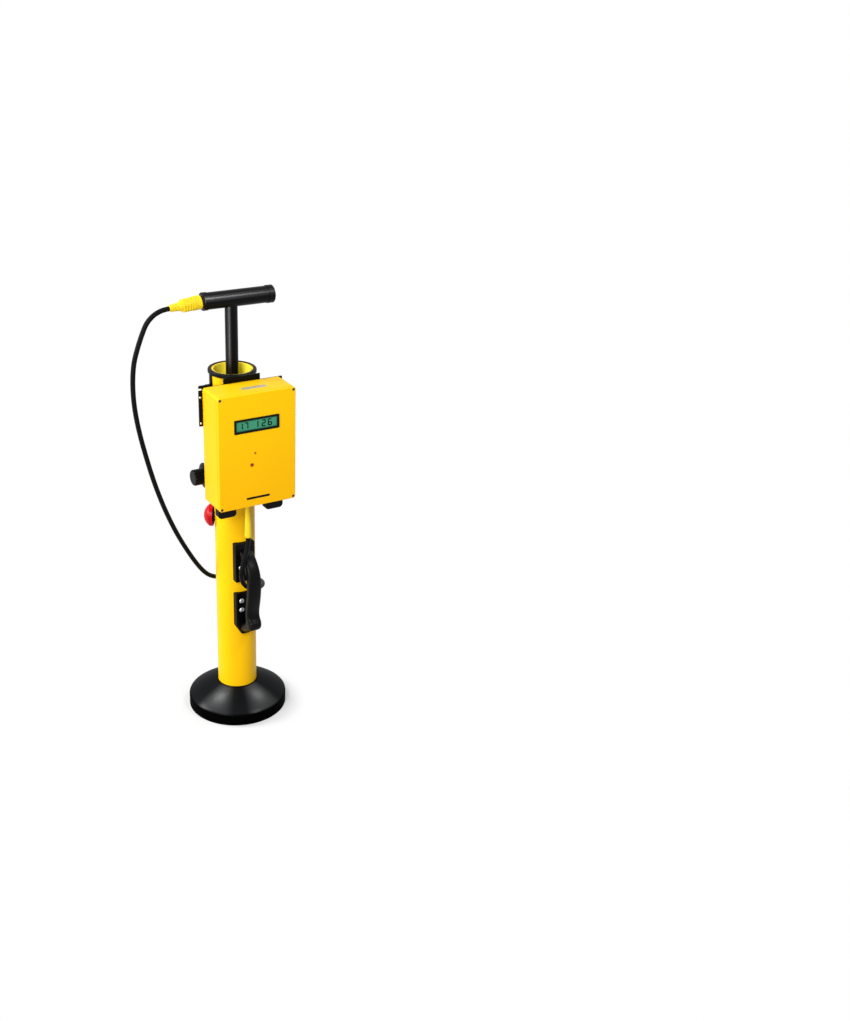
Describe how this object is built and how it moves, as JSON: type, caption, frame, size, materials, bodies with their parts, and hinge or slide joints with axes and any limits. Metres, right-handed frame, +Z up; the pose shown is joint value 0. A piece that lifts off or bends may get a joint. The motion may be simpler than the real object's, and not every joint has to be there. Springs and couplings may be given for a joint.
{
  "type": "soil impact tester",
  "caption": "Drop hammer with a T-handle in a guide tube on a round foot, with a readout box, a push button, a carry handle and a signal cable.",
  "frame": {"origin": "on the ground in the middle of the foot, where the drop hammer strikes", "axes": "+Z up along the guide tube, +X along the T-handle away from its cable socket, -Y the way the readout box faces"},
  "size_m": [0.2295, 0.1668, 0.6765],
  "materials": {
    "black_paint": "satin charcoal black powder coat",
    "yellow_paint": "gloss yellow enamel",
    "black_trim": "smooth black edge trim",
    "steel": "machined",
    "dark_steel": "dark oxide",
    "nickel": "nickel plated",
    "yellow_plastic": "smooth orange-yellow",
    "seal_rubber": "matt",
    "black_plastic": "fine satin",
    "display_glass": "green tinted window",
    "board": "green lacquer",
    "cell": "plain sleeve",
    "red_lamp": "clear red",
    "amber_lamp": "clear amber",
    "guard_rubber": "moulded",
    "yellow_rubber": "soft yellow",
    "cable_jacket": "smooth black jacket",
    "handle_plastic": "gloss black",
    "ring_plastic": "white slide ring",
    "black_rod": "black anodised",
    "red_plastic": "gloss red"
  },
  "bodies": {
    "stand": {"foot_flange": "black_paint", "guide_tube": "yellow_paint", "rim_trim": "black_trim", "mounting_bracket": "black_paint", "bracket_screws": "steel", "clamp_shell": "black_paint", "clamp_screws": "steel", "box_body": "yellow_plastic", "lid_gasket": "seal_rubber", "box_lid": "yellow_plastic", "lid_screws": "dark_steel", "display_bezel": "black_plastic", "display_window": "display_glass", "display_module": "board", "main_board": "board", "board_standoffs": "steel", "battery_holder": "black_plastic", "battery_cells": "cell", "power_lamp": "red_lamp", "battery_lamp": "amber_lamp", "connector_guards": "guard_rubber", "box_socket": "steel", "box_plug_shell": "nickel", "box_plug_boot": "yellow_rubber", "signal_cable": "cable_jacket", "button_base": "black_plastic", "button_switch": "black_plastic", "carry_handle": "handle_plastic", "handle_screws": "nickel"},
    "hammer": {"hammer_weight": "steel", "guide_rings": "ring_plastic", "acceleration_sensor": "nickel", "sensor_lead": "cable_jacket", "hammer_rod": "black_rod", "rod_lock_nut": "steel", "handle_tube": "black_rod", "handle_end_cap": "handle_plastic", "handle_collar": "handle_plastic", "handle_socket": "nickel", "plug_sleeve": "yellow_rubber", "plug_body": "yellow_rubber", "plug_boot": "yellow_rubber"},
    "push_button": {"button_cap": "red_plastic"},
    "clamp_knob": {"lock_knob": "black_plastic", "lock_stud": "steel"}
  },
  "joints": [
    {"name": "hammer_slide", "type": "slide", "parent": "stand", "child": "hammer", "axis": [0, 0, 1], "range_m": [0, 0.45]},
    {"name": "button_press", "type": "slide", "parent": "stand", "child": "push_button", "axis": [0.8434, -0.5373, 0], "range_m": [0, 0.0014], "stiffness_N_per_m": 2000, "springref_m": -0.001},
    {"name": "knob_turn", "type": "hinge", "parent": "stand", "child": "clamp_knob", "pos_m": [-0.06, -0.012, 0.407], "axis": [-1, 0, 0], "range_deg": [0, 540]}
  ]
}
